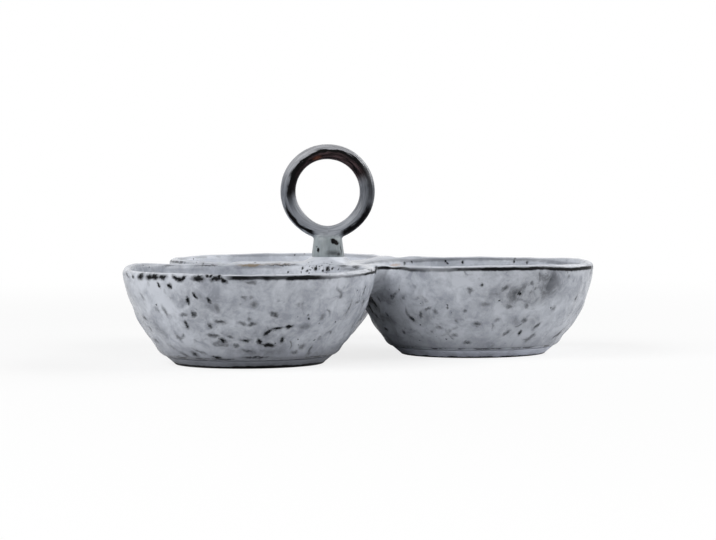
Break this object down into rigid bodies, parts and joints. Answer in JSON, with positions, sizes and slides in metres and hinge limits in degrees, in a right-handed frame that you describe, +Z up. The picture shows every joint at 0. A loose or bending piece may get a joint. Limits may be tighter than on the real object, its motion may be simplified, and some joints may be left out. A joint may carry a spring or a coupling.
{
  "type": "relish tray",
  "caption": "Stoneware relish tray: round footed bowls joined at their rims around a central web, carried by a ring handle on a short stem.",
  "frame": {"origin": "on the table, under the middle of the three bowls' common outline", "axes": "+Z up from the table, +X to the right and +Y to the back, seen from the side with the left and right bowls in front; the ring's hole runs along Y"},
  "size_m": [0.2356, 0.2434, 0.1071],
  "materials": {
    "glaze": "pale blue-grey glaze with dark specks and dark rims",
    "handle_glaze": "dark grey streaked glaze",
    "foot_clay": "thinly glazed foot with a bare dark standing edge"
  },
  "bodies": {
    "root": {"bowl_left": "glaze", "bowl_right": "glaze", "bowl_rear": "glaze", "seam_front": "glaze", "seam_back": "glaze", "seam_side": "glaze", "center_web": "glaze", "handle_pad": "glaze", "handle_stem": "handle_glaze", "handle_ring": "handle_glaze", "foot_ring_left": "foot_clay", "foot_ring_right": "foot_clay", "foot_ring_rear": "foot_clay"}
  },
  "joints": []
}
